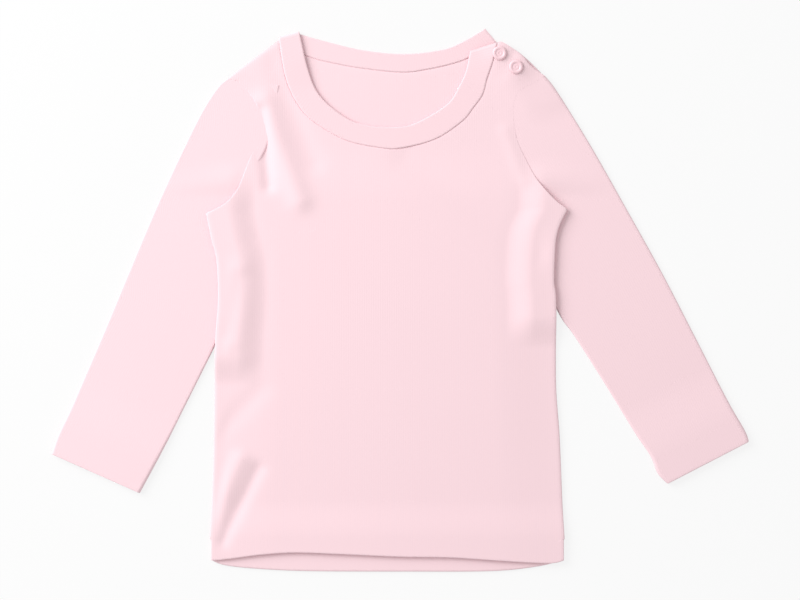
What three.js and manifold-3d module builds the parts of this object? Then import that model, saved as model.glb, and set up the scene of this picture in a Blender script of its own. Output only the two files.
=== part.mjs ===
// A baby's long-sleeve top in plain jersey, laid flat on its back with the shoulder snaps closed.
// Millimetres, +Z up. +X is the wearer's left, +Y is towards the neck, and the back panel lies on z = 0.
// Every piece of cloth is a wall: a sheet of points, moved out along its normals to both sides.

import * as THREE from 'three';
import { mergeVertices } from 'three/addons/utils/BufferGeometryUtils.js';
import Module from 'manifold-3d';

const wasm = await Module();
wasm.setup();

// ---- driving dimensions -------------------------------------------------------------------------

const CLOTH = 1.0;            // one ply of jersey, with the air that it holds
const SEAM_GAP = 0.5;         // between two pieces sewn edge to edge
const ARMHOLE_GAP = 0.8;      // the same at the armholes, where both edges lean
const PLY_GAP = 0.35;         // between two plies that lie on each other
const HEM_DEPTH = 15;         // body hem and cuff hems, turned in once
const HEM_TURN = 0.8;         // what the turned ply adds inside
const BAND_WALL = 1.5;        // the neckband is a folded strip
const SLACK = 0.5;            // air between the front and back plies
const EDGE_AIR = 0.3;         // what is left of it along the seams
const SLEEVE_AIR = 0.6;       // between the plies of a sleeve
const SLEEVE_LENGTH = 230;    // along the middle, from the armhole to the cuff
const SLEEVE_HEAD = 0.26;     // the share of it that is gridded more closely, beside the body
const FULLNESS = 0.9;         // how far the front rises in the middle of the body
const FULL_FROM_SIDE = 45;    // how far in from the side seams it is full
const FULL_TOP = [70, 110];   // it fades between these, below the neck
const FULL_BOTTOM = [-185, -60];
const TUCK_LIFT = 3.9;        // how far the body rises over a sleeve edge that is tucked under it
const TUCK_WIDTH = 15;        // how far in from the side that rise stays level
const TUCK_FADE = 20;         // and how far further it takes to come down
const OPENING_LIFT = 1.5;     // how far the buttoned shoulder stands above the plain one
const OPENING_WIDTH = 18;     // width of that raised strip along the shoulder
const BAND_TURN = { at: [-77, 183], lift: 0.8, full: 14, faded: 40 };  // where the neckband turns over
const HEM_FADE = [-166, -140];  // the turned hem's thickness comes down between these
const FOLD_EDGE = 12;         // folds fade within this distance of the side seams
const SEAM_BLEND = 40;        // the sleeve comes down from the body's height within this distance
const ARMPIT_BLEND = [72, 92];  // and that rise begins between these, above the armpit
const CUFF_RISE = 0.8;        // share of the sleeve's length from which it thickens towards the cuff
const SNAP_LIFT = 2.0;        // the small rise of the cloth over each snap
const SNAP_REACH = 11;        // and how wide it is
const SNAP_GAP = 0.3;         // between a snap and the cloth that it lies on
const SNAP_RADIUS = 4.7;      // the ring cap, on top
const SNAP_HEIGHT = 0.9;
const STUD_RADIUS = 3.9;      // the stud, under the cloth
const STUD_HEIGHT = 0.7;
const UNDERLAP_WIDTH = 15;
const UNDERLAP_TURN = 0.5;    // how far in the middle of its turned edge stands

// How many steps the grids take along each part of the outline.
const STEPS = {
  side: 9,
  armholeTop: 5,
  armhole: 7,
  shoulder: 4,
  neck: 14,
  head: 6,
  sleeve: 8,
  across: 9,
  fold: 4,
  bandFold: 5,
  underlap: 6,
  turned: 16,
};

// ---- outlines, each a smooth curve through [x, y] points ----------------------------------------

// side seams from the hem line up to the armpit
const RIGHT_SIDE = [[-133, -167], [-131, -132], [-130, -92], [-129, -31], [-127, 0], [-128, 28],
  [-131.5, 42], [-135.5, 60.5]];
const LEFT_SIDE = [[115, -167], [113.5, -142], [111.5, -95], [109, -58], [109, -2], [107.5, 13],
  [108, 31], [109, 43], [111.5, 52.5], [117, 63.5]];
// front armholes from the shoulder point down to the armpit
const RIGHT_ARMHOLE = [[-121, 154.5], [-113.5, 152.5], [-107.5, 147], [-101.5, 139.5], [-98, 131],
  [-97.8, 121], [-100, 112], [-107.5, 92.5], [-113.5, 77.5], [-122, 67.5], [-135.5, 60.5]];
const LEFT_ARMHOLE = [[101.5, 156.5], [95, 152], [87.5, 148.3], [82, 143.5], [79.8, 135], [79.8, 125],
  [82, 112], [88, 98.5], [95, 85.5], [103, 75.5], [110, 68.5], [117, 63.5]];
// shoulders from the neck seam out to the armhole
const RIGHT_SHOULDER = [[-84.5, 182], [-92, 176.2], [-107, 165.2], [-121, 154.5]];
const LEFT_SHOULDER = [[68, 180], [71.5, 180.2], [80, 175], [86, 170], [92, 163], [101.5, 156.5]];
// the back's own shoulder edge on the side that opens, inside the turn of the underlap
const LEFT_BACK_SHOULDER = [[68, 180], [69.5, 178.4], [79, 173], [84.7, 168.8], [90.6, 163], [94.8, 157],
  [101.5, 156.5]];
const UNDERLAP_EDGE = [[72, 179.6], [80.6, 175], [86.2, 170.8], [92.4, 165.2], [98.5, 159]];
// neck seams from the wearer's right shoulder to the left one
const FRONT_NECK = [[-84.5, 182], [-80.5, 157.5], [-73.5, 140], [-62, 126], [-38.5, 112], [-14, 106.5],
  [1, 106.3], [25, 112.7], [43.5, 125], [51, 134], [58, 144], [61, 155], [65, 167], [68, 180]];
const BACK_NECK = [[-84.5, 182], [-73, 175], [-61.5, 169.4], [-46, 165.6], [-27, 162.2], [1.5, 159.4],
  [21, 161.8], [40, 166.4], [52, 171.5], [68, 180]];
// free edges of the neckband, in the same order
const FRONT_FREE_EDGE = [[-70, 186], [-68, 177], [-65, 164], [-59.5, 148.5], [-50.5, 137], [-35, 126],
  [-20, 121.7], [-1.5, 121], [12.5, 124.5], [33, 137], [41.5, 150], [46, 160], [49, 174]];
const BACK_FREE_EDGE = [[-70, 186], [-56, 182], [-27, 175], [2, 172.2], [28.5, 175], [43.5, 180.6],
  [59.5, 190]];
// hems from the wearer's right side to the left
const FRONT_HEM = [[-132, -182], [-120, -181], [-97, -178], [-73, -176.5], [-37, -177.8], [0, -179.4],
  [36, -180], [73, -182.4], [104, -184], [114.5, -182]];
const BACK_HEM = [[-132, -182], [-123, -185.5], [-101, -188], [-64, -189.7], [3, -190], [64, -189.7],
  [96, -186.5], [114.5, -182]];
// sleeves: the outer fold from the shoulder to the cuff, and the inner fold, which starts inside the body's
// outline and is cut away there down to the armpit
const RIGHT_OUTER = [[-121, 154.5], [-128, 148.5], [-139, 131.5], [-153, 103.5], [-171, 64.5],
  [-190, 19.5], [-208.5, -25], [-228, -70], [-239, -93], [-244, -107.5]];
const RIGHT_INNER = [[-84, 150], [-92, 110], [-110, 76], [-122, 50], [-122.5, 25], [-121.5, 0],
  [-124, -18], [-129, -31], [-137, -47.5], [-151, -75.5], [-165, -103.5], [-180, -131.5], [-182, -135]];
const LEFT_OUTER = [[101.5, 156.5], [108, 148.5], [119, 131.5], [136, 103.5], [158, 64.5], [183, 19.5],
  [206, -25], [229, -70], [241, -91], [244, -99]];
const LEFT_INNER = [[70, 150], [74, 112], [88, 80], [101, 56], [102.5, 36], [102, 20], [103.5, 6],
  [108.5, -4.5], [114, -14.5], [122.5, -26], [143.5, -59], [164, -92.5], [175, -109], [180, -121],
  [187, -128.5]];

// ridges (height above 0) and troughs (below 0) of the front, each along a line
const FRONT_FOLDS = [
  { name: 'armhole ridge', from: [-95, 136], to: [-72, 72], height: 1.2, halfWidth: 12 },
  { name: 'armhole trough', from: [-101, 132], to: [-92, 78], height: -0.4, halfWidth: 7 },
  { name: 'hem corner ridge', from: [-129, -150], to: [-112, -112], height: 1.2, halfWidth: 9 },
  { name: 'hem corner trough', from: [-122, -166], to: [-99, -118], height: -0.5, halfWidth: 9 },
  { name: 'chest trough', from: [5, 98], to: [98, 34], height: -0.6, halfWidth: 12 },
  { name: 'waist ridge', from: [-112, 20], to: [-118, -30], height: 0.8, halfWidth: 10 },
];
const SLEEVE_FOLDS = {
  right: [{ name: 'head dimple', from: [-112, 138], to: [-104, 132], height: -0.4, halfWidth: 8 }],
  left: [
    { name: 'head dimple', from: [94, 141], to: [104, 117], height: -0.5, halfWidth: 7 },
    { name: 'long ridge', from: [113, 0], to: [178, -105], height: 0.9, halfWidth: 9 },
  ],
};
const SNAPS = [
  { name: 'neck', at: [69.5, 172.3] },
  { name: 'shoulder', at: [81, 162.7] },
];

// ---- curves and patches -------------------------------------------------------------------------

const smoother = (low, high, x) => THREE.MathUtils.smoothstep(x, low, high);

/** A function of 0..1 that runs evenly along the smooth curve through the points. */
function along(points) {
  const curve = new THREE.SplineCurve(points.map(([x, y]) => new THREE.Vector2(x, y)));
  return t => curve.getPointAt(THREE.MathUtils.clamp(t, 0, 1));
}

const reversed = curve => t => curve(1 - t);

/** A line of points moved sideways, to the left of the way it runs, with its corners mitred. */
function offset(line, distance) {
  const side = (a, b) => new THREE.Vector2(a.y - b.y, b.x - a.x).normalize();
  return line.map((point, k) => {
    const before = side(line[Math.max(k - 1, 0)], line[Math.max(k, 1)]);
    const after = side(line[Math.min(k, line.length - 2)], line[Math.min(k + 1, line.length - 1)]);
    const both = before.clone().add(after);
    return point.clone().addScaledVector(both, 2 * distance / both.lengthSq());
  });
}

/** Several curves run through in order, each over its share of 0..1. */
function chain(...parts) {
  return t => {
    let start = 0;
    for (const [curve, share] of parts.slice(0, -1)) {
      if (t <= start + share) return curve((t - start) / share);
      start += share;
    }
    const [last, share] = parts.at(-1);
    return last((t - start) / share);
  };
}

/** A Coons patch: the surface in the plane that takes its four edges from four curves. */
function coons(bottom, top, left, right) {
  const corners = [bottom(0), bottom(1), top(0), top(1)];
  return (u, v) => {
    const [b, t, l, r] = [bottom(u), top(u), left(v), right(v)];
    const blend = axis => (1 - v) * b[axis] + v * t[axis] + (1 - u) * l[axis] + u * r[axis]
      - (1 - u) * (1 - v) * corners[0][axis] - u * (1 - v) * corners[1][axis]
      - (1 - u) * v * corners[2][axis] - u * v * corners[3][axis];
    return new THREE.Vector2(blend('x'), blend('y'));
  };
}

/**
 * Evens out the inside of a grid of plane points between its fixed edges, so that no cell folds over. Each
 * inner point moves to where the two families of grid lines are harmonic in the plane.
 */
function relaxed(grid, turns = 400) {
  for (let turn = 0; turn < turns; turn += 1) {
    for (let i = 1; i < grid.length - 1; i += 1) {
      for (let j = 1; j < grid[i].length - 1; j += 1) {
        const [east, west, north, south] = [grid[i + 1][j], grid[i - 1][j], grid[i][j + 1], grid[i][j - 1]];
        const across = east.clone().sub(west);
        const up = north.clone().sub(south);
        const [a, b, c] = [up.lengthSq(), across.dot(up), across.lengthSq()];
        const twist = grid[i + 1][j + 1].clone().sub(grid[i + 1][j - 1]).sub(grid[i - 1][j + 1])
          .add(grid[i - 1][j - 1]);
        grid[i][j].copy(east).add(west).multiplyScalar(a).addScaledVector(north, c).addScaledVector(south, c)
          .addScaledVector(twist, -b / 2).divideScalar(2 * (a + c));
      }
    }
  }
  return grid;
}

/** 0..1 in steps, with a whole number of steps in each share. */
function stepped(...parts) {
  const values = [0];
  let start = 0;
  for (const [share, steps] of parts) {
    for (let k = 1; k <= steps; k += 1) values.push(start + share * k / steps);
    start += share;
  }
  return values;
}

/** Distance from a point of the plane to a stretch between two points. */
function distanceTo(point, from, to) {
  const start = new THREE.Vector2(...from);
  const run = new THREE.Vector2(...to).sub(start);
  const offset = point.clone().sub(start);
  const t = THREE.MathUtils.clamp(offset.dot(run) / run.lengthSq(), 0, 1);
  return offset.distanceTo(run.multiplyScalar(t));
}

/** The height that a list of folds adds at a point: a soft bell across each fold's line. */
function foldHeight(folds, point) {
  return folds.reduce((sum, fold) => {
    const reach = distanceTo(point, fold.from, fold.to) / fold.halfWidth;
    return sum + fold.height * Math.exp(-1.5 * reach * reach);
  }, 0);
}

// ---- heights ------------------------------------------------------------------------------------

// where each sleeve is tucked under the side of the body
const TUCKS = [
  { edge: along(RIGHT_SIDE), inward: 1, full: [-38, 66], faded: [-60, 100] },
  { edge: along(LEFT_SIDE), inward: -1, full: [-11, 68], faded: [-34, 102] },
];

/** How far the body is lifted at a point by the sleeves tucked under its sides. */
function tuckLift(point) {
  let lift = 0;
  for (const { edge, inward, full, faded } of TUCKS) {
    const across = (point.x - edgeAt(edge, point.y)) * inward;
    const level = 1 - smoother(TUCK_WIDTH, TUCK_WIDTH + TUCK_FADE, across);
    const height = smoother(faded[0], full[0], point.y) * (1 - smoother(full[1], faded[1], point.y));
    lift = Math.max(lift, TUCK_LIFT * level * height);
  }
  return lift;
}

/** The x of a side seam at a height y, found by halving, since a side seam always climbs. */
function edgeAt(edge, y) {
  let [low, high] = [0, 1];
  for (let turn = 0; turn < 24; turn += 1) {
    const middle = (low + high) / 2;
    if (edge(middle).y < y) low = middle;
    else high = middle;
  }
  return edge(low).x;
}

/** How far inside the nearer side seam a point of the body lies. */
function fromSide(point) {
  const [right, left] = TUCKS.map(({ edge }) => edgeAt(edge, point.y));
  return Math.min(point.x - right, left - point.x);
}

const OPENING_LINE = { from: [68, 181], to: [101.5, 156.5] };

/** Height of the middle of the back ply. */
const backHeight = point => CLOTH / 2 + tuckLift(point);

/** Height of the middle of the front ply, before the fullness of the body. */
function frontHeight(point, fullness = 0) {
  const opening = distanceTo(point, OPENING_LINE.from, OPENING_LINE.to);
  const raised = OPENING_LIFT * (1 - smoother(OPENING_WIDTH, 2 * OPENING_WIDTH, opening));
  const overSnaps = SNAPS.reduce((sum, { at }) => {
    const reach = point.distanceTo(new THREE.Vector2(...at)) / SNAP_REACH;
    return Math.max(sum, SNAP_LIFT * Math.exp(-reach * reach));
  }, 0);
  const fromTurn = point.distanceTo(new THREE.Vector2(...BAND_TURN.at));
  const neckLift = BAND_TURN.lift * (1 - smoother(BAND_TURN.full, BAND_TURN.faded, fromTurn));
  const hem = HEM_TURN * 2 * (1 - smoother(...HEM_FADE, point.y));
  return backHeight(point) + CLOTH + PLY_GAP + EDGE_AIR + raised + overSnaps + neckLift + hem
    + fullness * (SLACK + FULLNESS * smoother(...FULL_BOTTOM, point.y));
}

// ---- solids -------------------------------------------------------------------------------------

/**
 * A closed wall about a sheet of points. `outer` and `inner` give how far the wall reaches along the normal
 * and against it at grid place (i, j). The normal is across i turned towards j. A ring closes along i.
 */
function clothWall(points, outer, inner, ring = false) {
  const columns = points.length;
  const rows = points[0].length;
  const at = (i, j) => points[ring ? (i + columns) % columns : THREE.MathUtils.clamp(i, 0, columns - 1)][
    THREE.MathUtils.clamp(j, 0, rows - 1)];
  const vertices = [];
  for (let i = 0; i < columns; i += 1) {
    for (let j = 0; j < rows; j += 1) {
      const across = at(i + 1, j).clone().sub(at(i - 1, j));
      const up = at(i, j + 1).clone().sub(at(i, j - 1));
      const normal = across.cross(up).normalize();
      vertices.push(at(i, j).clone().addScaledVector(normal, outer(i, j)));
      vertices.push(at(i, j).clone().addScaledVector(normal, -inner(i, j)));
    }
  }
  const index = (i, j, side) => 2 * ((i % columns) * rows + j) + side;
  const faces = [];
  const quad = (a, b, c, d) => faces.push(a, b, c, a, c, d);
  const spans = ring ? columns : columns - 1;
  for (let i = 0; i < spans; i += 1) {
    for (let j = 0; j < rows - 1; j += 1) {
      quad(index(i, j, 0), index(i + 1, j, 0), index(i + 1, j + 1, 0), index(i, j + 1, 0));
      quad(index(i, j, 1), index(i, j + 1, 1), index(i + 1, j + 1, 1), index(i + 1, j, 1));
    }
    quad(index(i, 0, 0), index(i, 0, 1), index(i + 1, 0, 1), index(i + 1, 0, 0));
    quad(index(i, rows - 1, 0), index(i + 1, rows - 1, 0), index(i + 1, rows - 1, 1), index(i, rows - 1, 1));
  }
  if (!ring) {
    for (let j = 0; j < rows - 1; j += 1) {
      quad(index(0, j, 0), index(0, j + 1, 0), index(0, j + 1, 1), index(0, j, 1));
      const end = columns - 1;
      quad(index(end, j, 0), index(end, j, 1), index(end, j + 1, 1), index(end, j + 1, 0));
    }
  }
  const geometry = new THREE.BufferGeometry();
  geometry.setAttribute('position', new THREE.Float32BufferAttribute(vertices.flatMap(p => p.toArray()), 3));
  geometry.setIndex(faces);
  return geometry;
}

const lifted = (point, z) => new THREE.Vector3(point.x, point.y, z);

const NECK_SHARE = 0.68;
const SHOULDER_SHARE = (1 - NECK_SHARE) / 2;
const SIDE_SHARE = 0.68;
const PANEL_COLUMNS = stepped([SHOULDER_SHARE, STEPS.shoulder], [NECK_SHARE, STEPS.neck],
  [SHOULDER_SHARE, STEPS.shoulder]);
const ARMHOLE_PLACES = stepped([0.22, STEPS.armholeTop], [0.78, STEPS.armhole]);
const PANEL_ROWS = [...stepped([SIDE_SHARE, STEPS.side]),
  ...ARMHOLE_PLACES.toReversed().slice(1).map(place => 1 - (1 - SIDE_SHARE) * place)];

const armholes = { right: along(RIGHT_ARMHOLE), left: along(LEFT_ARMHOLE) };
const NECK_PLACES = stepped([1, STEPS.neck]);

/** A body panel: the hem strip first, then a patch from the hem line to the shoulders and neck. */
function panel({ hem, neck, rightShoulder, leftShoulder, height, turnInside }) {
  const hemEdge = along(hem);
  const hemLine = t => hemEdge(t).add(new THREE.Vector2(0, HEM_DEPTH));
  const top = chain([reversed(along(rightShoulder)), SHOULDER_SHARE], [along(neck), NECK_SHARE],
    [along(leftShoulder), SHOULDER_SHARE]);
  const right = chain([along(RIGHT_SIDE), SIDE_SHARE], [reversed(armholes.right), 1 - SIDE_SHARE]);
  const left = chain([along(LEFT_SIDE), SIDE_SHARE], [reversed(armholes.left), 1 - SIDE_SHARE]);
  const surface = coons(hemLine, top, right, left);
  const grid = relaxed(PANEL_COLUMNS.map(u => PANEL_ROWS.map(v => surface(u, v))));
  const points = grid.map((column, i) => [hemEdge(PANEL_COLUMNS[i]), ...column]
    .map(point => lifted(point, height(point))));
  const turned = (i, j) => CLOTH / 2 + (j < 2 ? HEM_TURN : 0);
  const plain = () => CLOTH / 2;
  return turnInside === 'under' ? clothWall(points, plain, turned) : clothWall(points, turned, plain);
}

/** The front's extra height: none along the outline, full inside. */
function fullness(point) {
  return smoother(0, FULL_FROM_SIDE, fromSide(point)) * (1 - smoother(...FULL_TOP, point.y));
}

/** A closed three.js geometry as a solid that can be cut. */
function solid(geometry) {
  const bare = geometry.clone();
  bare.deleteAttribute('normal');
  bare.deleteAttribute('uv');
  const merged = mergeVertices(bare, 1e-4);
  return new wasm.Manifold(new wasm.Mesh({
    numProp: 3,
    vertProperties: new Float32Array(merged.attributes.position.array),
    triVerts: new Uint32Array(merged.index.array),
  }));
}

/** A solid back as a three.js geometry. */
function geometryOf(cut) {
  const mesh = cut.getMesh();
  const geometry = new THREE.BufferGeometry();
  geometry.setAttribute('position', new THREE.BufferAttribute(mesh.vertProperties, 3));
  geometry.setIndex([...mesh.triVerts]);
  return geometry;
}

/** The upright block that the body fills inside one armhole. It reaches well past the sleeve elsewhere. */
function armholeBlock(armhole, outward) {
  const [beyond, armpitReach, shoulderReach, above, depth, below] = [3, 90, 60, 30, 40, 10];
  const line = offset(ARMHOLE_PLACES.map(armhole), outward * ARMHOLE_GAP);
  const past = (end, before) => end.clone().addScaledVector(end.clone().sub(before).normalize(), beyond);
  const [shoulder, armpit] = [past(line[0], line[1]), past(line.at(-1), line.at(-2))];
  const outline = [shoulder, ...line, armpit, new THREE.Vector2(armpit.x - outward * armpitReach, armpit.y),
    new THREE.Vector2(shoulder.x - outward * shoulderReach, shoulder.y + above),
    new THREE.Vector2(shoulder.x, shoulder.y + above)];
  const block = new THREE.ExtrudeGeometry(new THREE.Shape(outline), { depth, bevelEnabled: false });
  return solid(block.translate(0, 0, -below));
}

/** A sleeve: a flattened tube, cut off along the armhole. */
function sleeve(side, outerFold, innerFold, outward) {
  const hemShare = HEM_DEPTH / SLEEVE_LENGTH;
  const rows = stepped([SLEEVE_HEAD, STEPS.head], [1 - SLEEVE_HEAD - hemShare, STEPS.sleeve], [hemShare, 1]);
  const between = Array.from({ length: STEPS.across - 1 }, (_, k) => (k + 1) / STEPS.across);

  // the front ply meets the front panel along the armhole, and its hem is thicker at the cuff
  const frontPly = (point, v) => {
    const seam = smoother(...ARMPIT_BLEND, point.y) * (1 - smoother(0, SEAM_BLEND, seamDistance(point)));
    const own = CLOTH * 1.5 + SLEEVE_AIR + 2 * HEM_TURN * smoother(CUFF_RISE, 1 - hemShare, v);
    return THREE.MathUtils.lerp(own, frontHeight(point), seam) + foldHeight(SLEEVE_FOLDS[side], point);
  };
  const seamPoints = ARMHOLE_PLACES.map(armholes[side]);
  const seamDistance = point => Math.min(...seamPoints.map(seam => seam.distanceTo(point)));

  const sections = rows.map(v => {
    const [outerEdge, innerEdge] = [outerFold(v), innerFold(v)];
    const width = outerEdge.distanceTo(innerEdge);
    const at = u => outerEdge.clone().lerp(innerEdge, u);
    const fold = end => {
      const radius = (frontPly(at(end), v) - CLOTH / 2) / 2;
      const points = [];
      for (let k = 0; k <= STEPS.fold; k += 1) {
        const angle = Math.PI * (0.5 - k / STEPS.fold);
        const inset = (radius + CLOTH / 2 - radius * Math.cos(angle)) / width;
        points.push(lifted(at(Math.abs(end - inset)), CLOTH / 2 + radius * (1 + Math.sin(angle))));
      }
      return points;
    };
    return [...between.map(u => lifted(at(u), frontPly(at(u), v))), ...fold(1),
      ...between.map(u => lifted(at(u), CLOTH / 2)).reverse(), ...fold(0).reverse()];
  });
  const points = sections[0].map((_, i) => sections.map(section => section[i]));
  if (outward < 0) points.reverse();
  const hemmed = (i, j) => CLOTH / 2 + (j >= rows.length - 2 ? HEM_TURN : 0);
  const tube = solid(clothWall(points, () => CLOTH / 2, hemmed, true));
  const cut = tube.subtract(armholeBlock(armholes[side], outward));
  const [largest] = cut.decompose().sort((a, b) => b.volume() - a.volume());
  return geometryOf(largest);
}

/** The neckband: one folded strip round the front, over the wearer's right shoulder and along the back. */
function neckband() {
  const half = BAND_WALL / 2;
  const across = [0, 0.35, 0.7, 1];
  const station = (free, seam, height) => across.map(t => {
    const point = free.clone().lerp(seam, t);
    return lifted(point, height(point));
  });
  const run = (freeEdge, neckSeam, height) => {
    const free = NECK_PLACES.map(along(freeEdge));
    const seam = offset(NECK_PLACES.map(along(neckSeam)), SEAM_GAP);
    return free.map((point, k) => station(point, seam[k], height));
  };
  const front = run(FRONT_FREE_EDGE, FRONT_NECK, point => frontHeight(point) + half - CLOTH / 2).reverse();
  const back = run(BACK_FREE_EDGE, BACK_NECK, () => half);
  const [high, low] = [front.at(-1), back[0]];
  const foldLine = high.at(-1).clone().sub(high[0]);
  const outward = new THREE.Vector3(foldLine.y, -foldLine.x, 0).normalize();
  const turn = [];
  for (let k = 1; k < STEPS.bandFold; k += 1) {
    const angle = Math.PI * (0.5 - k / STEPS.bandFold);
    turn.push(high.map((top, j) => {
      const bottom = low[j];
      const radius = (top.z - bottom.z) / 2;
      const point = top.clone().lerp(bottom, k / STEPS.bandFold);
      point.addScaledVector(outward, radius * Math.cos(angle));
      point.z = (top.z + bottom.z) / 2 + radius * Math.sin(angle);
      return point;
    }));
  }
  return clothWall([...front, ...turn, ...back], () => half, () => half);
}

/** The back's underlap: a strip under the front's shoulder edge, turned down round the back's own edge. */
function underlap() {
  const line = stepped([1, STEPS.underlap]).map(along(UNDERLAP_EDGE));
  const way = line.at(-1).clone().sub(line[0]).normalize();
  const inward = new THREE.Vector2(way.y, -way.x);
  const level = CLOTH + PLY_GAP + CLOTH / 2;
  const profile = [[UNDERLAP_WIDTH, level], [6, level], [UNDERLAP_TURN + 0.6, level], [UNDERLAP_TURN, 1.4],
    [UNDERLAP_TURN, 0.6]];
  const points = line.map(edge => profile.map(([reach, z]) => {
    return lifted(edge.clone().addScaledVector(inward, reach), z);
  }));
  return clothWall(points, () => CLOTH / 2, () => CLOTH / 2);
}

/** A turned disc standing on z = 0, from its half outline. */
function disc(outline) {
  const geometry = new THREE.LatheGeometry(outline.map(([r, z]) => new THREE.Vector2(r, z)), STEPS.turned);
  return geometry.rotateX(Math.PI / 2);
}

const capOutline = [[0, 0], [SNAP_RADIUS, 0], [SNAP_RADIUS, 0.4], [SNAP_RADIUS - 0.4, SNAP_HEIGHT - 0.1],
  [SNAP_RADIUS - 1, SNAP_HEIGHT], [2.9, SNAP_HEIGHT - 0.2], [2.6, 0.45], [0.8, 0.45], [0.5, 0.3], [0, 0.3]];
const studOutline = [[0, 0], [STUD_RADIUS, 0], [STUD_RADIUS, STUD_HEIGHT - 0.2],
  [STUD_RADIUS - 0.3, STUD_HEIGHT], [0, STUD_HEIGHT]];

// ---- the garment --------------------------------------------------------------------------------

const PINK = '#fad9df';
const jersey = new THREE.MeshStandardMaterial({ color: PINK, roughness: 0.9, metalness: 0 });
const ribJersey = new THREE.MeshStandardMaterial({ color: '#f9d6dd', roughness: 0.92, metalness: 0 });
const snapPlastic = new THREE.MeshStandardMaterial({ color: '#f8d3da', roughness: 0.45, metalness: 0 });

const top = new THREE.Group();

function add(name, geometry, material, position = [0, 0, 0]) {
  const mesh = new THREE.Mesh(geometry, material);
  mesh.name = name;
  mesh.position.set(...position);
  top.add(mesh);
  return mesh;
}

const bodyFront = point => frontHeight(point, fullness(point))
  + foldHeight(FRONT_FOLDS, point) * smoother(0, FOLD_EDGE, fromSide(point));

/** How high the pieces stand under a disc: the highest hit of rays let down all over it. */
function seatHeight(pieces, [x, y], radius) {
  const [rings, spokes, above] = [6, 24, 100];
  const rays = Array.from({ length: rings * spokes }, (_, k) => {
    const reach = radius * (1 - Math.floor(k / spokes) / rings);
    const angle = 2 * Math.PI * (k % spokes) / spokes;
    return [reach * Math.cos(angle), reach * Math.sin(angle)];
  });
  const hits = rays.flatMap(([dx, dy]) => new THREE.Raycaster(new THREE.Vector3(x + dx, y + dy, above),
    new THREE.Vector3(0, 0, -1)).intersectObjects(pieces));
  return Math.max(...hits.map(hit => hit.point.z));
}

const front = add('front_body', panel({
  hem: FRONT_HEM,
  neck: FRONT_NECK,
  rightShoulder: RIGHT_SHOULDER,
  leftShoulder: LEFT_SHOULDER,
  height: bodyFront,
  turnInside: 'under',
}), jersey);
add('back_body', panel({
  hem: BACK_HEM,
  neck: BACK_NECK,
  rightShoulder: RIGHT_SHOULDER,
  leftShoulder: LEFT_BACK_SHOULDER,
  height: backHeight,
  turnInside: 'over',
}), jersey);
add('right_sleeve', sleeve('right', along(RIGHT_OUTER), along(RIGHT_INNER), -1), jersey);
add('left_sleeve', sleeve('left', along(LEFT_OUTER), along(LEFT_INNER), 1), jersey);
const band = add('neckband', neckband(), ribJersey);
add('shoulder_underlap', underlap(), jersey);
const underlapTop = 2 * CLOTH + PLY_GAP;
for (const { name, at } of SNAPS) {
  const seat = seatHeight([front, band], at, SNAP_RADIUS);
  add(`${name}_snap_cap`, disc(capOutline), snapPlastic, [...at, seat + SNAP_GAP]);
  add(`${name}_snap_stud`, disc(studOutline), snapPlastic, [...at, underlapTop + PLY_GAP]);
}

// The origin is the middle of the garment's box, on the surface that it lies on.
const box = new THREE.Box3().setFromObject(top);
const centre = box.getCenter(new THREE.Vector3());
top.position.set(-centre.x, -centre.y, -box.min.z);

export default top;
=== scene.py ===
"""A baby's long-sleeve top in plain jersey, laid flat with its shoulder snaps closed, on a pale surface.

Every piece of cloth is a surface worked out on a grid of two parameters, in millimetres, and put into its mesh in
metres. x runs to the wearer's left sleeve, y to the neck and z out of the surface that the garment lies on.
"""

import bpy
import numpy as np
from bpy.props import FloatProperty, FloatVectorProperty, PointerProperty, StringProperty
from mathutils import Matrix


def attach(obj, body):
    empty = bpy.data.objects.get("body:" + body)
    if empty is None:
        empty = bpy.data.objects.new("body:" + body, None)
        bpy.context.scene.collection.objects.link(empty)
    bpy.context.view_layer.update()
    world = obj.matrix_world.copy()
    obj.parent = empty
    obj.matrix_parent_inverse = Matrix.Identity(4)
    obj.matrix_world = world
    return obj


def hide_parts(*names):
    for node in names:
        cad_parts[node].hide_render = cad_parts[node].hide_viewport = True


bl_info = {
    "name": "Baby long-sleeve top",
    "version": (1, 0, 0),
    "blender": (4, 5, 0),
    "location": "View3D > Sidebar > Top",
    "description": "Builds a jersey top for a baby, laid flat, around its packed model",
    "category": "Object",
}

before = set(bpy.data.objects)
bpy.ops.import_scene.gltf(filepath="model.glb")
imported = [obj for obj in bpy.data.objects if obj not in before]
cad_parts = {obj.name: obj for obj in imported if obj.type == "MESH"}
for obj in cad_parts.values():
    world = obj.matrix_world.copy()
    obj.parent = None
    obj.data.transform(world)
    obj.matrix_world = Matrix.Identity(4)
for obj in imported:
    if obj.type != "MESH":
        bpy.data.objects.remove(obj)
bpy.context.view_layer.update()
MM = 0.001


# ---- outlines, in millimetres: each a smooth curve through its points --------------------------------

RIGHT_SIDE = [(-133, -167), (-131, -132), (-130, -92), (-129, -31), (-127, 0), (-128, 28), (-131.5, 42),
              (-135.5, 60.5)]
LEFT_SIDE = [(115, -167), (113.5, -142), (111.5, -95), (109, -58), (109, -2), (107.5, 13), (108, 31), (109, 43),
             (111.5, 52.5), (117, 63.5)]
RIGHT_ARMHOLE = [(-121, 154.5), (-113.5, 152.5), (-107.5, 147), (-101.5, 139.5), (-98, 131), (-97.8, 121),
                 (-100, 112), (-107.5, 92.5), (-113.5, 77.5), (-122, 67.5), (-135.5, 60.5)]
LEFT_ARMHOLE = [(101.5, 156.5), (95, 152), (87.5, 148.3), (82, 143.5), (79.8, 135), (79.8, 125), (82, 112),
                (88, 98.5), (95, 85.5), (103, 75.5), (110, 68.5), (117, 63.5)]
RIGHT_SHOULDER = [(-84.5, 182), (-92, 176.2), (-107, 165.2), (-121, 154.5)]
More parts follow.
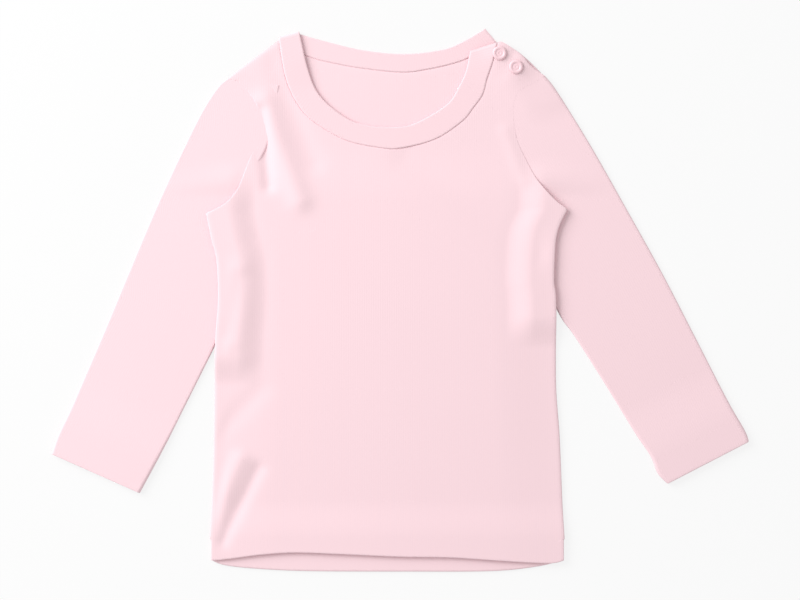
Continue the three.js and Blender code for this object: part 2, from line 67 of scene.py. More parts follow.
LEFT_SHOULDER = [(68, 180), (71.5, 180.2), (80, 175), (86, 170), (92, 163), (101.5, 156.5)]
LEFT_BACK_SHOULDER = [(68, 180), (69.5, 178.4), (79, 173), (84.7, 168.8), (90.8, 163.2), (95.4, 157),
                      (101.5, 156.5)]
FRONT_NECK = [(-84.5, 182), (-80.5, 157.5), (-73.5, 140), (-62, 126), (-38.5, 112), (-14, 106.5), (1, 106.3),
              (25, 112.7), (43.5, 125), (51, 134), (58, 144), (61, 155), (65, 167), (68, 180)]
BACK_NECK = [(-84.5, 182), (-73, 175), (-61.5, 169.4), (-46, 165.6), (-27, 162.2), (1.5, 159.4), (21, 161.8),
             (40, 166.4), (52, 171.5), (68, 180)]
FRONT_FREE_EDGE = [(-70, 186), (-68, 177), (-65, 164), (-59.5, 148.5), (-50.5, 137), (-35, 126), (-20, 121.7),
                   (-1.5, 121), (12.5, 124.5), (33, 137), (41.5, 150), (46, 160), (49, 174)]
BACK_FREE_EDGE = [(-70, 186), (-56, 182), (-27, 175), (2, 172.2), (28.5, 175), (43.5, 180.6), (59.5, 190)]
FRONT_HEM = [(-132, -182), (-120, -181), (-97, -178), (-73, -176.5), (-37, -177.8), (0, -179.4), (36, -180),
             (73, -182.4), (104, -184), (114.5, -182)]
BACK_HEM = [(-132, -182), (-123, -185.5), (-101, -188), (-64, -189.7), (3, -190), (64, -189.7), (96, -186.5),
            (114.5, -182)]
RIGHT_OUTER = [(-121, 154.5), (-128, 148.5), (-139, 131.5), (-153, 103.5), (-171, 64.5), (-190, 19.5),
               (-208.5, -25), (-228, -70), (-239, -93), (-244, -107.5)]
RIGHT_INNER = [(-84, 150), (-92, 110), (-110, 76), (-122, 50), (-122.5, 25), (-121.5, 0), (-124, -18),
               (-129, -31), (-137, -47.5), (-151, -75.5), (-165, -103.5), (-180, -131.5), (-182, -135)]
LEFT_OUTER = [(101.5, 156.5), (108, 148.5), (119, 131.5), (136, 103.5), (158, 64.5), (183, 19.5), (206, -25),
              (229, -70), (241, -91), (244, -99)]
LEFT_INNER = [(70, 150), (74, 112), (88, 80), (101, 56), (102.5, 36), (102, 20), (103.5, 6), (108.5, -4.5),
              (114, -14.5), (122.5, -26), (143.5, -59), (164, -92.5), (175, -109), (180, -121), (187, -128.5)]
HEM_DEPTH = 15.0


# ---- curves and grids ---------------------------------------------------------------------------------

def spline(points, count=2001):
    """Cardinal spline through the points: each piece is the cubic whose slopes are half the way between neighbours."""
    p = np.asarray(points, float)
    q = np.vstack([p[0], p, p[-1]])
    t = np.linspace(0, len(p) - 1, count)
    k = np.minimum(t.astype(int), len(p) - 2)
    s = (t - k)[:, None]
    a, b, c, d = q[k], q[k + 1], q[k + 2], q[k + 3]
    m0, m1 = (c - a) / 2, (d - b) / 2
    return (2 * s**3 - 3 * s**2 + 1) * b + (s**3 - 2 * s**2 + s) * m0 + (3 * s**2 - 2 * s**3) * c + (s**3 - s**2) * m1


def along(points, places):
    """Points of the spline at the given shares of its length."""
    line = spline(points)
    run = np.concatenate([[0], np.cumsum(np.linalg.norm(np.diff(line, axis=0), axis=1))])
    run /= run[-1]
    return np.stack([np.interp(places, run, line[:, axis]) for axis in range(2)], 1)


def smooth(low, high, x):
    """0 below low, 1 above high, and the cubic 3t^2 - 2t^3 between."""
    t = np.clip((x - low) / (high - low), 0, 1)
    return t * t * (3 - 2 * t)


def coons(bottom, top, left, right, u, v):
    """The four edges blended over a grid: opposite edges ruled together, less what the corners count twice."""
    u, v = u[:, None, None], v[None, :, None]
    ruled = (1 - v) * bottom[:, None] + v * top[:, None] + (1 - u) * left[None] + u * right[None]
    corners = ((1 - u) * (1 - v) * bottom[0] + u * (1 - v) * bottom[-1] + (1 - u) * v * top[0] + u * v * top[-1])
    return ruled - corners


def relaxed(grid, turns=1500):
    """Inner points moved until both families of grid lines are harmonic in the plane, so no cell folds over."""
    g = grid.copy()
    for _ in range(turns):
        east, west, north, south = g[2:, 1:-1], g[:-2, 1:-1], g[1:-1, 2:], g[1:-1, :-2]
        across, up = (east - west), (north - south)
        a = (up * up).sum(-1, keepdims=True)
        b = (across * up).sum(-1, keepdims=True)
        c = (across * across).sum(-1, keepdims=True)
        twist = g[2:, 2:] - g[2:, :-2] - g[:-2, 2:] + g[:-2, :-2]
        g[1:-1, 1:-1] = (a * (east + west) + c * (north + south) - b / 2 * twist) / (2 * (a + c))
    return g


def resampled(values, old, new):
    """Values along the first axis moved from old parameters to new ones by cubic steps between them."""
    k = np.clip(np.searchsorted(old, new, side="right") - 1, 0, len(old) - 2)
    shape = (-1,) + (1,) * (values.ndim - 1)
    h = (old[k + 1] - old[k]).reshape(shape)
    s = ((new - old[k]) / (old[k + 1] - old[k])).reshape(shape)
    slope = np.gradient(values, old, axis=0)
    a, b = values[k], values[k + 1]
    return ((2 * s**3 - 3 * s**2 + 1) * a + (s**3 - 2 * s**2 + s) * h * slope[k]
            + (3 * s**2 - 2 * s**3) * b + (s**3 - s**2) * h * slope[k + 1])


def fine_places(count, rim=(0.0, 0.0008, 0.0022, 0.0045)):
    """0..1 in even steps, with a few close ones at both ends for a rounded rim."""
    inner = np.linspace(rim[-1], 1 - rim[-1], count)
    return np.concatenate([rim[:-1], inner, 1 - np.array(rim[:-1])[::-1]])


def panel_plane(hem, neck, right_shoulder, left_shoulder, columns, rows):
    """A body panel in the plane. A coarse relaxed patch is refined, then its edges are drawn onto the true outline."""
    shoulder, side, hem_rows = 0.16, 0.68, 0.05

    def top(u):
        parts = [along(right_shoulder, 1 - u / shoulder), along(neck, (u - shoulder) / (1 - 2 * shoulder)),
                 along(left_shoulder, (u - 1 + shoulder) / shoulder)]
        first, last = (u < shoulder)[:, None], (u > 1 - shoulder)[:, None]
        return np.where(first, parts[0], np.where(last, parts[2], parts[1]))

    def edge(sides, armhole, v):
        seam = along(sides, v / side)
        hole = along(armhole, 1 - (v - side) / (1 - side))
        return np.where((v < side)[:, None], seam, hole)

    def hem_line(u):
        return along(hem, u) + np.array([0, HEM_DEPTH])

    def edges(u, v):
        return hem_line(u), top(u), edge(RIGHT_SIDE, RIGHT_ARMHOLE, v), edge(LEFT_SIDE, LEFT_ARMHOLE, v)

    cu = np.concatenate([np.linspace(0, shoulder, 5), np.linspace(shoulder, 1 - shoulder, 25)[1:-1],
                         np.linspace(1 - shoulder, 1, 5)])
    cv = np.concatenate([np.linspace(0, side, 17), np.linspace(side, 1, 17)[1:]])
    coarse = relaxed(coons(*edges(cu, cv), cu, cv))
    fine = resampled(coarse, cu, columns)
    fine = np.swapaxes(resampled(np.swapaxes(fine, 0, 1), cv, rows), 0, 1)
    bottom, crown, left, right = edges(columns, rows)
    fine = fine + coons(bottom - fine[:, 0], crown - fine[:, -1], left - fine[0], right - fine[-1], columns, rows)
    strip = fine_places(int(hem_rows * 400), (0.0, 0.01, 0.03, 0.06))[:-1]
    low = along(hem, columns)
    turned = low[:, None] + strip[None, :, None] * np.array([0, HEM_DEPTH])
    return np.concatenate([turned, fine], 1)


# ---- heights, in millimetres ---------------------------------------------------------------------------

def bell(xy, start, end, width):
    """exp(-1.5 d^2 / width^2), with d the distance to the stretch from start to end."""
    start, end = np.asarray(start, float), np.asarray(end, float)
    run = end - start
    t = np.clip(((xy - start) @ run) / (run @ run), 0, 1)
    gap = np.linalg.norm(xy - start - t[..., None] * run, axis=-1)
    return np.exp(-1.5 * (gap / width) ** 2)


def side_x(points, y):
    line = spline(points)
    return np.interp(y, line[:, 1], line[:, 0])


def tuck_lift(xy):
    """How far the body is lifted by the sleeve edges that are tucked under its sides."""
    x, y = xy[..., 0], xy[..., 1]
    lift = np.zeros_like(x)
    for points, inward, full, faded in ((RIGHT_SIDE, 1, (-38, 66), (-60, 100)), (LEFT_SIDE, -1, (-11, 68), (-34, 102))):
        across = (x - side_x(points, y)) * inward
        level = 1 - smooth(15, 35, across)
        span = smooth(faded[0], full[0], y) * (1 - smooth(full[1], faded[1], y))
        lift = np.maximum(lift, 3.8 * level * span)
    return lift


def segment_distance(xy, start, end):
    start, end = np.asarray(start, float), np.asarray(end, float)
    run = end - start
    t = np.clip(((xy - start) @ run) / (run @ run), 0, 1)
    return np.linalg.norm(xy - start - t[..., None] * run, axis=-1)


SNAPS = {"neck": (69.5, 172.3), "shoulder": (81.0, 162.7)}


def back_height(xy):
    return 0.5 + tuck_lift(xy)


def front_height(xy):
    """Middle of the front ply: over the back ply, raised along the opening, over the snaps and at the hem."""
    opening = segment_distance(xy, (68, 181), (101.5, 156.5))
    raised = 1.5 * (1 - smooth(18, 36, opening))
    over = np.max([2.0 * np.exp(-(np.linalg.norm(xy - np.array(at), axis=-1) / 11) ** 2) for at in SNAPS.values()], 0)
    neck = 0.8 * (1 - smooth(14, 40, np.linalg.norm(xy - np.array([-77, 183]), axis=-1)))
    hem = 1.6 * (1 - smooth(-166, -140, xy[..., 1]))
    return back_height(xy) + 1.65 + raised + over + neck + hem


# name, start, end, height, half width
FRONT_FOLDS = [
    ("armhole ridge", (-95, 137), (-70, 70), 2.0, 10),
    ("armhole trough", (-97, 133), (-92, 80), -1.6, 6),
    ("hem corner ridge", (-129, -150), (-112, -112), 1.6, 8),
    ("hem corner trough", (-124, -168), (-99, -118), -1.2, 6),
    ("chest trough", (5, 98), (98, 34), -0.8, 14),
    ("waist ridge", (-112, 20), (-118, -30), 0.8, 10),
    ("waist trough", (-112, 14), (-120, -22), -0.7, 8),
    ("side trough", (-129, -95), (-98, -63), -0.7, 9),
    ("right armhole band", (74, 118), (86, 84), 0.5, 6),
    ("neck side trough", (-88, 165), (-60, 96), -0.7, 9),
]


def folds(xy, rows):
    return sum(height * bell(xy, start, end, width) for _, start, end, height, width in rows)


# ---- meshes ------------------------------------------------------------------------------------------------

def normals_of(p, ring=False):
    """Unit normals of a grid surface: the step across turned towards the step up."""
    if ring:
        across = np.roll(p, -1, 0) - np.roll(p, 1, 0)
    else:
        across = np.gradient(p, axis=0)
    up = np.gradient(p, axis=1)
    n = np.cross(across, up)
    return n / np.maximum(np.linalg.norm(n, axis=-1, keepdims=True), 1e-9)


def grid_faces(columns, rows, ring=False, start=0, flip=False):
    i = np.arange(columns if ring else columns - 1)[:, None]
    j = np.arange(rows - 1)[None]
    a = (i % columns) * rows + j
    b = ((i + 1) % columns) * rows + j
    quads = np.stack([a, b, b + 1, a + 1], -1).reshape(-1, 4) + start
    return quads[:, ::-1] if flip else quads


def make_object(name, vertices, quads, uv, material):
    """A mesh object from arrays: vertices in millimetres, quads, and one uv for each vertex."""
    mesh = bpy.data.meshes.new(name)
    mesh.vertices.add(len(vertices))
    mesh.vertices.foreach_set("co", (np.asarray(vertices) * MM).ravel().astype(np.float32))
    mesh.loops.add(quads.size)
    mesh.loops.foreach_set("vertex_index", quads.ravel().astype(np.int32))
    mesh.polygons.add(len(quads))
    mesh.polygons.foreach_set("loop_start", np.arange(0, quads.size, 4, dtype=np.int32))
    mesh.polygons.foreach_set("use_smooth", np.ones(len(quads), bool))
    layer = mesh.uv_layers.new(name="cloth")
    layer.data.foreach_set("uv", uv[quads.ravel()].ravel().astype(np.float32))
    mesh.update(calc_edges=True)
    mesh.validate()
    mesh.materials.append(material)
    piece = bpy.data.objects.new(name, mesh)
    bpy.context.scene.collection.objects.link(piece)
    return piece


def rim_profile(count, places, span, half):
    """Half thickness across a sheet: a quarter ellipse at both ends, level between."""
    reach = np.minimum(places, 1 - places) * span
    t = np.clip(reach / half, 0, 1)
    return np.sqrt(np.clip(1 - (1 - t) ** 2, 0, 1))


def sheet_object(name, middle, outer, inner, uv, material, ring=False):
    """A closed wall about a middle surface. Where outer and inner fall to 0 the two faces meet in a rounded rim."""
    n = normals_of(middle, ring)
    top = middle + n * outer[..., None]
    low = middle - n * inner[..., None]
    columns, rows = middle.shape[:2]
    count = columns * rows
    vertices = np.concatenate([top.reshape(-1, 3), low.reshape(-1, 3)])
    quads = np.concatenate([grid_faces(columns, rows, ring), grid_faces(columns, rows, ring, count, True)])
    j = np.arange(rows)
    i = np.arange(columns)
    joins = []
    ia = i if ring else i[:-1]
    ib = (ia + 1) % columns
    joins.append(np.stack([ia * rows, ia * rows + count, ib * rows + count, ib * rows], -1))
    end = rows - 1
    joins.append(np.stack([ia * rows + end, ib * rows + end, ib * rows + end + count, ia * rows + end + count], -1))
    if not ring:
        ja, jb = j[:-1], j[1:]
        last = (columns - 1) * rows
        joins.append(np.stack([ja, jb, jb + count, ja + count], -1))
        joins.append(np.stack([last + ja, last + ja + count, last + jb + count, last + jb], -1))
    quads = np.concatenate([quads] + joins)
    return make_object(name, vertices, quads, np.concatenate([uv, uv]).reshape(-1, 2), material)


# ---- materials ---------------------------------------------------------------------------------------------

def linear(hex_value):
    """An sRGB hex colour as linear rgba."""
    rgb = np.array([int(hex_value[k:k + 2], 16) for k in (1, 3, 5)]) / 255
    out = np.where(rgb <= 0.04045, rgb / 12.92, ((rgb + 0.055) / 1.055) ** 2.4)
    return (*out.tolist(), 1.0)


def node(tree, kind, links=(), **settings):
    """Adds a node. Settings are attributes, or socket values by name; links are (from socket, to input name)."""
    made = tree.nodes.new(kind)
    for key, value in settings.items():
        if hasattr(made, key):
            setattr(made, key, value)
        else:
            made.inputs[key.replace("_", " ")].default_value = value
    for source, target in links:
        tree.links.new(source, made.inputs[target])
    return made


def jersey(name, colour, wale_mm=1.6, relief=0.05):
    """Cotton jersey, knitted fine and left matte: short fibres give a soft sheen at the edges, and the upright
    chains of stitches show as faint lines. They are drawn wider apart than the real 0.8 mm, so that they show."""
    material = bpy.data.materials.new(name)
    material.use_nodes = True
    tree = material.node_tree
    tree.nodes.clear()
    place = node(tree, "ShaderNodeUVMap", uv_map="cloth")
    apart = node(tree, "ShaderNodeSeparateXYZ", [(place.outputs["UV"], 0)])
    scaled = node(tree, "ShaderNodeMath", [(apart.outputs["X"], 0)], operation="MULTIPLY")
    scaled.inputs[1].default_value = 2 * np.pi / wale_mm
    wave = node(tree, "ShaderNodeMath", [(scaled.outputs[0], 0)], operation="SINE")
    object_place = node(tree, "ShaderNodeTexCoord")
    fibre = node(tree, "ShaderNodeTexNoise", [(object_place.outputs["Object"], "Vector")])
    fibre.inputs["Scale"].default_value = 900
    fibre.inputs["Detail"].default_value = 3
    cloud = node(tree, "ShaderNodeTexNoise", [(object_place.outputs["Object"], "Vector")])
    cloud.inputs["Scale"].default_value = 14
    cloud.inputs["Detail"].default_value = 2
    tone = node(tree, "ShaderNodeMix", [(cloud.outputs["Fac"], "Factor")], data_type="RGBA")
    tone.inputs[6].default_value = linear(colour)
    tone.inputs[7].default_value = tuple(c * 0.985 for c in linear(colour)[:3]) + (1,)
    height = node(tree, "ShaderNodeMath", [(wave.outputs[0], 0), (fibre.outputs["Fac"], 1)], operation="ADD")
    bump = node(tree, "ShaderNodeBump", [(height.outputs[0], "Height")])
    bump.inputs["Strength"].default_value = 0.25
    bump.inputs["Distance"].default_value = relief * MM
    shader = node(tree, "ShaderNodeBsdfPrincipled",
                  [(tone.outputs[2], "Base Color"), (bump.outputs["Normal"], "Normal")])
    shader.inputs["Roughness"].default_value = 0.92
    shader.inputs["Specular IOR Level"].default_value = 0.2
    shader.inputs["Sheen Weight"].default_value = 0.12
    shader.inputs["Sheen Roughness"].default_value = 0.5
    shader.inputs["Sheen Tint"].default_value = linear("#FFF2F4")
    output = node(tree, "ShaderNodeOutputMaterial")
    tree.links.new(shader.outputs[0], output.inputs[0])
    return material


def snap_plastic(name, colour):
    """Acetal snap, moulded and dyed to match: a satin skin with a fine grain from the mould."""
    material = bpy.data.materials.new(name)
    material.use_nodes = True
    tree = material.node_tree
    tree.nodes.clear()
    place = node(tree, "ShaderNodeTexCoord")
    grain = node(tree, "ShaderNodeTexNoise", [(place.outputs["Object"], "Vector")])
    grain.inputs["Scale"].default_value = 2500
    bump = node(tree, "ShaderNodeBump", [(grain.outputs["Fac"], "Height")])
    bump.inputs["Strength"].default_value = 0.15
    bump.inputs["Distance"].default_value = 0.00002
    shader = node(tree, "ShaderNodeBsdfPrincipled", [(bump.outputs["Normal"], "Normal")])
    shader.inputs["Base Color"].default_value = linear(colour)
    shader.inputs["Roughness"].default_value = 0.38
    output = node(tree, "ShaderNodeOutputMaterial")
    tree.links.new(shader.outputs[0], output.inputs[0])
    return material


def thread(name, colour):
    """Spun polyester sewing thread, dyed to match and slightly brighter than the cloth."""
    material = bpy.data.materials.new(name)
    material.use_nodes = True
    shader = material.node_tree.nodes["Principled BSDF"]
    tree = material.node_tree
    place = node(tree, "ShaderNodeTexCoord")
    ply = node(tree, "ShaderNodeTexNoise", [(place.outputs["Object"], "Vector")])
    ply.inputs["Scale"].default_value = 3000
    bump = node(tree, "ShaderNodeBump", [(ply.outputs["Fac"], "Height")])
    bump.inputs["Distance"].default_value = 0.00002
    tree.links.new(bump.outputs["Normal"], shader.inputs["Normal"])
    shader.inputs["Base Color"].default_value = linear(colour)
    shader.inputs["Roughness"].default_value = 0.6
    return material


MATERIALS = {}


def material_for(key):
    """The materials are made once, from the colours in the panel."""
    if not MATERIALS:
        colours = bpy.context.scene.baby_top
        MATERIALS["jersey"] = jersey("cotton_jersey", colours.cloth_colour)
        MATERIALS["band"] = jersey("folded_jersey", colours.band_colour)
        MATERIALS["snap"] = snap_plastic("dyed_acetal", colours.snap_colour)
        MATERIALS["thread"] = thread("polyester_thread", colours.thread_colour)
    return MATERIALS[key]


# ---- pieces ------------------------------------------------------------------------------------------------

def finish_piece(piece, slot, *nodes):
    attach(piece, "root")
    if nodes:
        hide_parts(*nodes)
    return piece


def build_panel(name, hem, neck, shoulders, height, turn_above, columns, rows, material):
    u, v = fine_places(columns), fine_places(rows)
    plane = panel_plane(hem, neck, *shoulders, u, v)
    z = height(plane)
    middle = np.concatenate([plane, z[..., None]], -1)
    across = rim_profile(0, u, 250, 0.5)
    count = plane.shape[1]
    run = np.linspace(0, 1, count)
    distance = np.minimum(plane[..., 1] - plane[:, :1, 1], 1e3)
    up = np.ones((len(u), count))
    up *= np.sqrt(np.clip(1 - (1 - np.clip(distance / 0.9, 0, 1)) ** 2, 0, 1))
    up[:, -4:] *= np.array([0.97, 0.8, 0.5, 0.0])[None]
    edge = across[:, None] * up
    hemmed = 0.5 + 0.8 * (1 - smooth(HEM_DEPTH - 0.6, HEM_DEPTH + 0.6, distance))
    plain = np.full_like(hemmed, 0.5)
    outer, inner = (hemmed, plain) if turn_above else (plain, hemmed)
    return sheet_object(name, middle, outer * edge, inner * edge, plane.copy(), material_for(material))


class TOP_OT_panels(bpy.types.Operator):
    """Builds the front and the back of the body, with their turned hems"""

    bl_idname = "baby_top.panels"
    bl_label = "Front and back"

    def execute(self, context):
        def front(xy):
            inside = np.minimum(xy[..., 0] - side_x(RIGHT_SIDE, xy[..., 1]), side_x(LEFT_SIDE, xy[..., 1]) - xy[..., 0])
            full = smooth(0, 45, inside) * (1 - smooth(70, 110, xy[..., 1]))
            puff = full * (0.5 + 0.9 * smooth(-185, -60, xy[..., 1]))
            curl = 1.2 * (1 - np.sqrt(np.clip(1 - (1 - np.clip(inside / 2.4, 0, 1)) ** 2, 0, 1)))
            return front_height(xy) + puff + folds(xy, FRONT_FOLDS) * smooth(0, 12, inside) - curl * 0.6

        piece = build_panel("front_panel", FRONT_HEM, FRONT_NECK, (RIGHT_SHOULDER, LEFT_SHOULDER), front, False,
                            200, 210, "jersey")
        finish_piece(piece, "jersey", "front_body")
        back = build_panel("back_panel", BACK_HEM, BACK_NECK, (RIGHT_SHOULDER, LEFT_BACK_SHOULDER), back_height, True,
                           130, 140, "jersey")
        finish_piece(back, "jersey", "back_body")
        return {"FINISHED"}


class TOP_OT_sleeves(bpy.types.Operator):
    """Builds the two sleeves as flattened tubes with turned cuff hems"""

    bl_idname = "baby_top.sleeves"
    bl_label = "Sleeves"

    def execute(self, context):
        for name, node_name, outer, inner, outward in (
                ("right_sleeve_tube", "right_sleeve", RIGHT_OUTER, RIGHT_INNER, -1),
                ("left_sleeve_tube", "left_sleeve", LEFT_OUTER, LEFT_INNER, 1)):
            piece = sleeve(name, outer, inner, outward)
            finish_piece(piece, "jersey", node_name)
        return {"FINISHED"}


def sleeve(name, outer, inner, outward):
    """A flattened tube: each section runs across the top ply, turns round the inner fold, returns and turns back."""
    v = fine_places(190, (0.0, 0.0006, 0.0016, 0.003))
    o, i = along(outer, v), along(inner, v)
    flat = np.linspace(0, 1, 62)[1:-1]
    angle = np.linspace(np.pi / 2, -np.pi / 2, 11)
    width = np.linalg.norm(i - o, axis=1)

    def height(xy, share):
        seam = smooth(72, 92, xy[..., 1]) * (1 - smooth(0, 40, armhole_distance(xy, outward)))
        own = 2.1 + 1.6 * smooth(0.8, 0.935, share)
        return own + (front_height(xy) - own) * seam

    def at(u):
        return o[None] + u[:, :, None] * (i - o)[None]

    high = [height(at(np.full((1, len(v)), end, float)), v[None])[0] for end in (0, 1)]
    parts = []
    radius = [(h - 0.5) / 2 for h in high]
    top_u = np.repeat(flat[:, None], len(v), 1)
    lo = (radius[0] + 0.5) / width
    hi = 1 - (radius[1] + 0.5) / width
    u_top = lo + (hi - lo) * top_u
    p = at(u_top)
    parts.append(np.concatenate([p, height(p, v[None])[..., None]], -1))
    u_in = 1 - (radius[1] + 0.5 - radius[1] * np.cos(angle)[:, None]) / width
    z_in = 0.5 + radius[1] * (1 + np.sin(angle)[:, None])
    parts.append(np.concatenate([at(u_in), z_in[..., None]], -1))
    p = at(u_top[::-1])
    parts.append(np.concatenate([p, np.full(p.shape[:2] + (1,), 0.5)], -1))
    u_out = (radius[0] + 0.5 - radius[0] * np.cos(angle)[:, None]) / width
    z_out = 0.5 + radius[0] * (1 + np.sin(angle)[:, None])
    parts.append(np.concatenate([at(u_out), z_out[..., None]], -1)[::-1])
    ring = np.concatenate(parts, 0)
    if outward < 0:
        ring = ring[::-1]
    run = np.concatenate([np.zeros((1, ring.shape[1])),
                          np.cumsum(np.linalg.norm(np.diff(ring, axis=0), axis=-1), 0)])
    uv = np.stack([run, np.broadcast_to(v * 290, run.shape)], -1)
    cuff = (1 - v) * 290
    rim = np.sqrt(np.clip(1 - (1 - np.clip(cuff / 0.9, 0, 1)) ** 2, 0, 1))
    plain = np.broadcast_to(0.5 * rim, run.shape)
    hemmed = np.broadcast_to((0.5 + 0.8 * (1 - smooth(14, 15.5, cuff))) * rim, run.shape)
    return sheet_object(name, ring, plain, hemmed, uv, material_for("jersey"), ring=True)


def armhole_distance(xy, outward):
    line = along(LEFT_ARMHOLE if outward > 0 else RIGHT_ARMHOLE, np.linspace(0, 1, 60))
    flat = xy.reshape(-1, 2)
    return np.min(np.linalg.norm(flat[:, None] - line[None], axis=-1), 1).reshape(xy.shape[:-1])


class TOP_OT_neckband(bpy.types.Operator):
    """Builds the neckband as one folded strip"""

    bl_idname = "baby_top.neckband"
    bl_label = "Neckband"

    def execute(self, context):
        half = 0.75
        t = np.linspace(0, 1, 170)
        across = fine_places(22, (0.0, 0.012, 0.035, 0.07))

        def stations(free, seam, height):
            f, s = along(free, t), along(seam, t)
            plane = f[:, None] + across[None, :, None] * (s - f)[:, None]
            return np.concatenate([plane, height(plane)[..., None]], -1)

        front = stations(FRONT_FREE_EDGE, FRONT_NECK, lambda xy: front_height(xy) + 0.25)[::-1]
        back = stations(BACK_FREE_EDGE, BACK_NECK, lambda xy: np.full(xy.shape[:-1], half))
        high, low = front[-1], back[0]
        line = high[-1] - high[0]
        outward = np.array([line[1], -line[0], 0]) / np.hypot(line[0], line[1])
        turn = []
        for angle in np.linspace(np.pi / 2, -np.pi / 2, 11)[1:-1]:
            radius = (high[:, 2] - low[:, 2]) / 2
            share = 0.5 - angle / np.pi
            section = high + (low - high) * share + outward * (radius * np.cos(angle))[:, None]
            section[:, 2] = (high[:, 2] + low[:, 2]) / 2 + radius * np.sin(angle)
            turn.append(section)
        band = np.concatenate([front, np.array(turn), back])
        run = np.concatenate([[0], np.cumsum(np.linalg.norm(np.diff(band[:, 0], axis=0), axis=-1))])
        uv = np.stack(np.broadcast_arrays(run[:, None], across[None] * 15), -1).copy()
        rim = rim_profile(0, across, 15, half)[None] * np.ones((len(band), 1))
        wall = half * rim
        wall[:1] = 0
        wall[-1:] = 0
        piece = sheet_object("neckband_strip", band, wall, wall, uv, material_for("band"))
        finish_piece(piece, "band_jersey", "neckband")
        return {"FINISHED"}


class TOP_OT_opening(bpy.types.Operator):
    """Builds the shoulder opening's underlap and its two fastened snaps"""

    bl_idname = "baby_top.opening"
    bl_label = "Shoulder opening"

    def execute(self, context):
        t = np.linspace(0, 1, 40)
        edge = along([(72, 179.6), (80.6, 175), (86.2, 170.8), (92.4, 165.2), (98.5, 159)], t)
        profile = spline([(0.5, 0.6), (0.5, 1.4), (1.1, 1.85), (6, 1.85), (15, 1.85)], 24)[::-1]
        inward = np.array([-0.62, -0.78])
        plane = edge[:, None] + profile[None, :, :1] * inward
        middle = np.concatenate([plane, np.broadcast_to(profile[None, :, 1:], plane.shape[:2] + (1,))], -1)
        wall = np.full(plane.shape[:2], 0.5)
        piece = sheet_object("underlap_strip", middle, wall, wall, plane.copy(), material_for("jersey"))
        finish_piece(piece, "jersey", "shoulder_underlap")
        for key, at in SNAPS.items():
            cap = snap_cap(f"{key}_ring_cap", at)
            finish_piece(cap, "snap", f"{key}_snap_cap")
            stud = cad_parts[f"{key}_snap_stud"]
            stud.data.materials.clear()
            stud.data.materials.append(material_for("snap"))
        return {"FINISHED"}


def snap_cap(name, at):
    """A turned ring cap: its half outline carried round the axis."""
    profile = spline([(0.01, 0.32), (0.5, 0.34), (0.9, 0.5), (1.6, 0.5), (2.3, 0.44), (2.7, 0.62), (3.2, 0.86),
                      (3.9, 0.9), (4.4, 0.7), (4.65, 0.3), (4.6, 0.02), (0.01, 0.0)], 60)
    turn = np.linspace(0, 2 * np.pi, 64, endpoint=False)
    base = float(front_height(np.array([at]))[0]) + 0.5 + 0.35
    ring = np.stack([at[0] + profile[None, :, 0] * np.cos(turn)[:, None],
                     at[1] + profile[None, :, 0] * np.sin(turn)[:, None],
                     np.broadcast_to(base + profile[None, :, 1], (64, 60))], -1)
    quads = grid_faces(64, 60, ring=True, flip=True)
    joined = np.arange(64)
    vertices = ring.reshape(-1, 3)
    top, bottom = len(vertices), len(vertices) + 1
    vertices = np.vstack([vertices, [at[0], at[1], base + 0.32], [at[0], at[1], base]])
    ring_quads = [quads]
    after = (joined[::2] + 1) % 64
    next_two = (joined[::2] + 2) % 64
    ring_quads.append(np.stack([np.full(32, top), joined[::2] * 60, after * 60, next_two * 60], -1))
    ring_quads.append(np.stack([np.full(32, bottom), next_two * 60 + 59, after * 60 + 59, joined[::2] * 60 + 59], -1))
    quads = np.concatenate(ring_quads)
    return make_object(name, vertices, quads, vertices[:, :2].copy(), material_for("snap"))


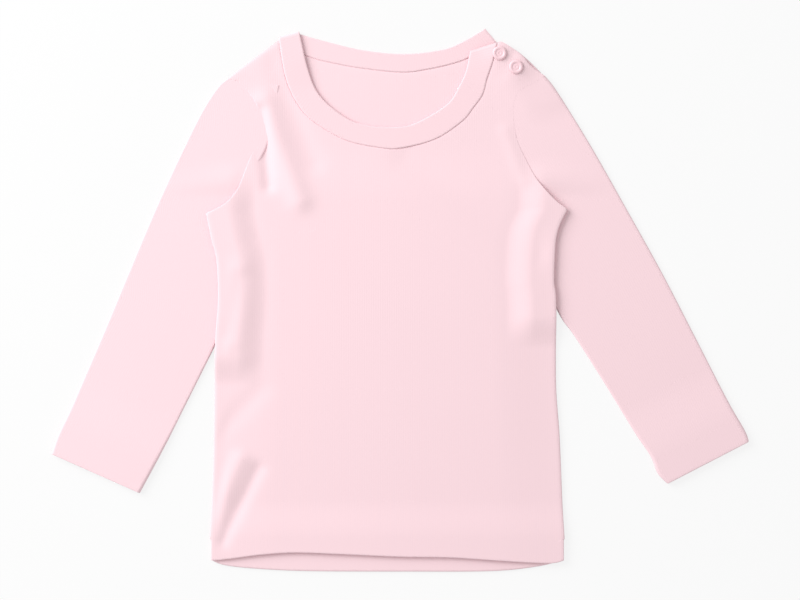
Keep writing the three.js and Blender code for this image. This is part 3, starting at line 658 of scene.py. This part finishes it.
class TOP_OT_stage(bpy.types.Operator):
    """Adds the pale surface, soft studio light and the camera straight above"""

    bl_idname = "baby_top.stage"
    bl_label = "Stage"

    def execute(self, context):
        settings = context.scene.baby_top
        mesh = bpy.data.meshes.new("table_top")
        size = 6.0
        mesh.from_pydata([(-size, -size, 0), (size, -size, 0), (size, size, 0), (-size, size, 0)], [], [(0, 1, 2, 3)])
        floor = bpy.data.objects.new("table_top", mesh)
        context.scene.collection.objects.link(floor)
        floor.location.z = -0.0002
        paper = bpy.data.materials.new("white_paper")
        paper.use_nodes = True
        tree = paper.node_tree
        tree.nodes.clear()
        diffuse = node(tree, "ShaderNodeBsdfDiffuse")
        diffuse.inputs["Color"].default_value = (0.82, 0.82, 0.82, 1)
        glow = node(tree, "ShaderNodeEmission")
        glow.inputs["Strength"].default_value = 1.0
        path = node(tree, "ShaderNodeLightPath")
        share = node(tree, "ShaderNodeMath", [(path.outputs["Is Camera Ray"], 0)], operation="MULTIPLY")
        share.inputs[1].default_value = 0.8
        mix = node(tree, "ShaderNodeMixShader", [(share.outputs[0], 0)])
        tree.links.new(diffuse.outputs[0], mix.inputs[1])
        tree.links.new(glow.outputs[0], mix.inputs[2])
        output = node(tree, "ShaderNodeOutputMaterial")
        tree.links.new(mix.outputs[0], output.inputs[0])
        mesh.materials.append(paper)

        world = bpy.data.worlds.new("studio")
        world.use_nodes = True
        world.node_tree.nodes["Background"].inputs[0].default_value = (1, 1, 1, 1)
        world.node_tree.nodes["Background"].inputs[1].default_value = settings.fill_light
        context.scene.world = world
        lamp = bpy.data.lights.new("window", "AREA")
        lamp.shape = "RECTANGLE"
        lamp.size, lamp.size_y = 1.4, 1.4
        lamp.energy = settings.key_light
        light = bpy.data.objects.new("window", lamp)
        light.location = (-1.5, 0.9, 1.1)
        light.rotation_euler = (-light.location).to_track_quat("-Z", "Y").to_euler()
        context.scene.collection.objects.link(light)

        lens = bpy.data.cameras.new("camera")
        lens.lens = 120
        lens.sensor_width = 36
        camera = bpy.data.objects.new("camera", lens)
        camera.location = (0, 0, 0.56 * 120 / 36)
        context.scene.collection.objects.link(camera)
        context.scene.camera = camera
        context.scene.view_settings.view_transform = "Standard"
        return {"FINISHED"}


# ---- settings and panel ------------------------------------------------------------------------------------

class TopSettings(bpy.types.PropertyGroup):
    cloth_colour: StringProperty(name="Cloth", description="sRGB hex of the jersey", default="#FADBE1")
    band_colour: StringProperty(name="Neckband", description="sRGB hex of the neckband", default="#FADAE0")
    snap_colour: StringProperty(name="Snaps", description="sRGB hex of the snaps", default="#F7D3DA")
    thread_colour: StringProperty(name="Thread", description="sRGB hex of the thread", default="#F6CFD7")
    fill_light: FloatProperty(name="Fill light", description="Strength of the light from all round", default=0.62)
    key_light: FloatProperty(name="Key light", description="Power of the window light", default=38.0, unit="POWER")


class TOP_PT_panel(bpy.types.Panel):
    bl_label = "Baby top"
    bl_idname = "TOP_PT_panel"
    bl_space_type = "VIEW_3D"
    bl_region_type = "UI"
    bl_category = "Top"

    def draw(self, context):
        settings = context.scene.baby_top
        for key in TopSettings.__annotations__:
            self.layout.prop(settings, key)
        for operator in OPERATORS:
            self.layout.operator(operator.bl_idname)


OPERATORS = (TOP_OT_panels, TOP_OT_sleeves, TOP_OT_neckband, TOP_OT_opening, TOP_OT_stage)
CLASSES = (TopSettings, *OPERATORS, TOP_PT_panel)


def register():
    for cls in CLASSES:
        bpy.utils.register_class(cls)
    bpy.types.Scene.baby_top = PointerProperty(type=TopSettings)


def unregister():
    del bpy.types.Scene.baby_top
    for cls in reversed(CLASSES):
        bpy.utils.unregister_class(cls)


def main():
    register()
    bpy.ops.baby_top.panels()
    bpy.ops.baby_top.sleeves()
    bpy.ops.baby_top.neckband()
    bpy.ops.baby_top.opening()
    bpy.ops.baby_top.stage()
    bpy.context.view_layer.update()


if __name__ == "__main__":
    main()
